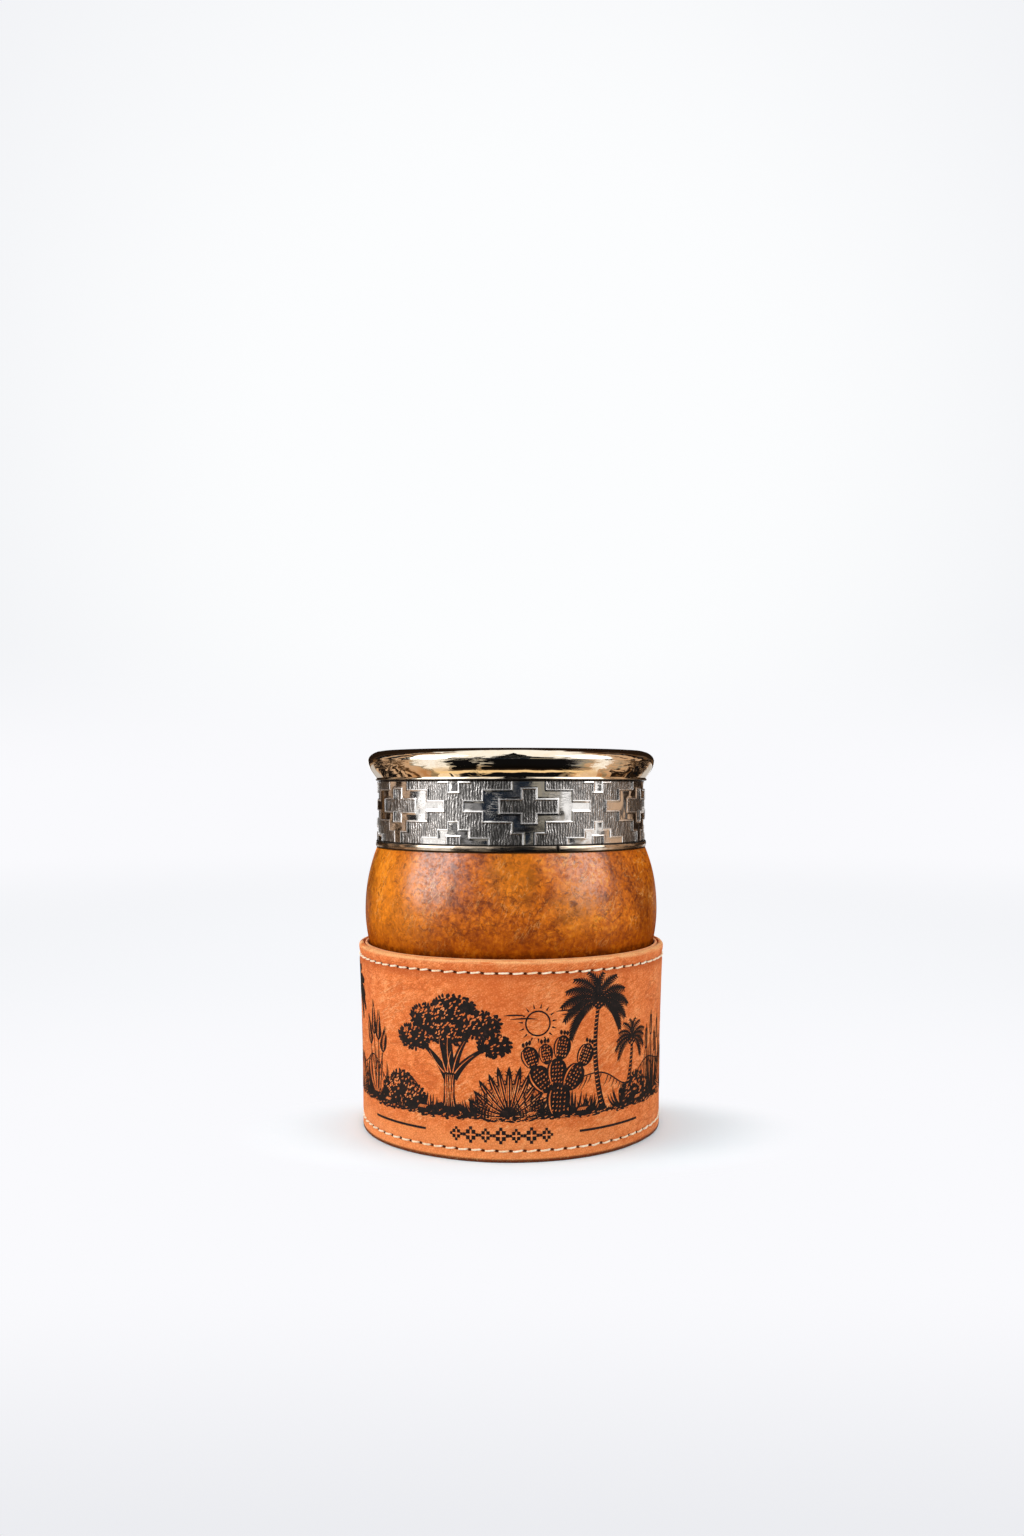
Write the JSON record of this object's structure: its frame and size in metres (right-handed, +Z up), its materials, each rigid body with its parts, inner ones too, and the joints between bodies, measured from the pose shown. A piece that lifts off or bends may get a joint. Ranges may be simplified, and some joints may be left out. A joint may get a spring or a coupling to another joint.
{
  "type": "mate gourd with a leather stand",
  "caption": "Hollow drinking gourd with a chased metal collar and flared lip, standing in a stitched leather cup that it lifts out of.",
  "frame": {"origin": "centre of the leather cup's underside, on the surface it stands on", "axes": "+Z up along the axis of the cup and the gourd; the front faces -Y and the cup's back seam is at +Y"},
  "size_m": [0.095, 0.095, 0.1149],
  "materials": {
    "tan_leather": "smooth vegetable-tanned leather, satin",
    "lining_leather": "matt split leather",
    "sole_leather": "firm sole leather",
    "waxed_thread": "twisted and waxed",
    "gourd_skin": "mottled calabash skin, oiled to a satin gloss",
    "oxidised_silver": "chased nickel silver, polished relief on a darkened ground",
    "bright_silver": "polished nickel silver",
    "pale_gold": "polished pale bronze"
  },
  "bodies": {
    "stand": {"sleeve_outer": "tan_leather", "sleeve_lining": "lining_leather", "base_disc": "sole_leather", "insole": "lining_leather", "top_stitching": "waxed_thread", "bottom_stitching": "waxed_thread", "seam_stitching": "waxed_thread"},
    "gourd": {"gourd_shell": "gourd_skin", "collar_band": "oxidised_silver", "collar_bead": "bright_silver", "rim_lip": "pale_gold", "mouth_liner": "bright_silver"}
  },
  "joints": [
    {"name": "gourd_lift", "type": "slide", "parent": "stand", "child": "gourd", "axis": [0, 0, 1], "range_m": [0, 0.062]}
  ]
}
